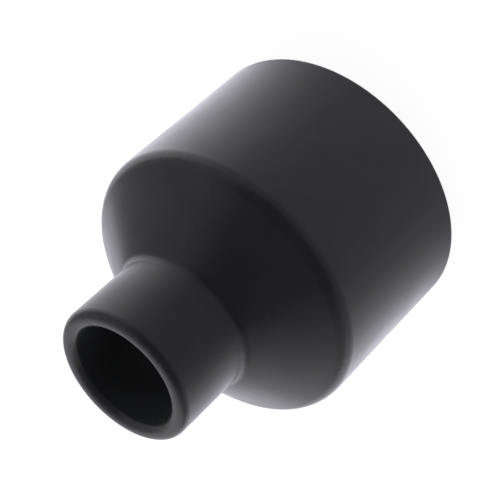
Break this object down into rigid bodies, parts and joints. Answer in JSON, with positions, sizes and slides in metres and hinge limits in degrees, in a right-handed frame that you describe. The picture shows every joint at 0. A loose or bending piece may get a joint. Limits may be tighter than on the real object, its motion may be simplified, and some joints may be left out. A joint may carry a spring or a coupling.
{
  "type": "concentric pipe reducer",
  "caption": "One-piece dark grey plastic pipe reducer with coaxial cement sockets: a large barrel, a conical rounded shoulder and a small barrel with a rounded lip.",
  "frame": {"origin": "centre of the large mouth's face, which the fitting stands on", "axes": "+Z along the common axis of both sockets, from the large mouth to the small one"},
  "size_m": [0.0722, 0.0722, 0.081],
  "materials": {
    "pvc_body": "dark grey moulded PVC, satin, with glossier reflections at grazing angles"
  },
  "bodies": {
    "root": {"reducer_body": "pvc_body"}
  },
  "joints": []
}
